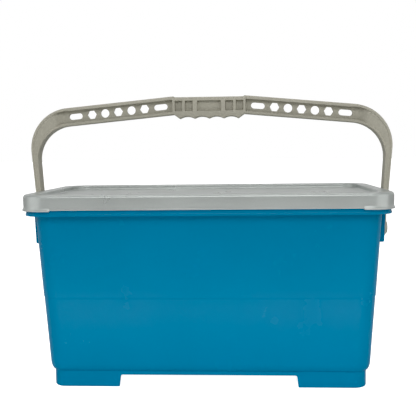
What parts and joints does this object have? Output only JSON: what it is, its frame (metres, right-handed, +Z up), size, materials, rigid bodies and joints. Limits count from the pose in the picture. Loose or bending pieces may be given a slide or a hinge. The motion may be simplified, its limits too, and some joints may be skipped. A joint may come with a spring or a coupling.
{
  "type": "lidded cleaning bucket",
  "caption": "Rectangular plastic cleaning bucket on corner feet, with a lift-off lid and an upright swing handle with a finger grip.",
  "frame": {"origin": "centre of the footprint, on the ground under the feet", "axes": "+X along the length, to the right from the front; +Y towards the back; +Z up"},
  "size_m": [0.511, 0.2632, 0.3888],
  "materials": {
    "bucket_plastic": "glossy moulded polypropylene",
    "lid_plastic": "satin moulded polypropylene",
    "handle_plastic": "satin moulded polypropylene",
    "pin_plastic": "satin moulded polypropylene"
  },
  "bodies": {
    "bucket": {"bucket_body": "bucket_plastic", "pivot_pin_left": "pin_plastic", "pivot_pin_right": "pin_plastic"},
    "lid": {"lid": "lid_plastic"},
    "handle": {"handle": "handle_plastic"}
  },
  "joints": [
    {"name": "handle_swing", "type": "hinge", "parent": "bucket", "child": "handle", "pos_m": [0, 0, 0.201], "axis": [1, 0, 0], "range_deg": [-127, 127]},
    {"name": "lid_lift", "type": "slide", "parent": "bucket", "child": "lid", "axis": [0, 0, 1], "range_m": [0, 0.055]}
  ]
}
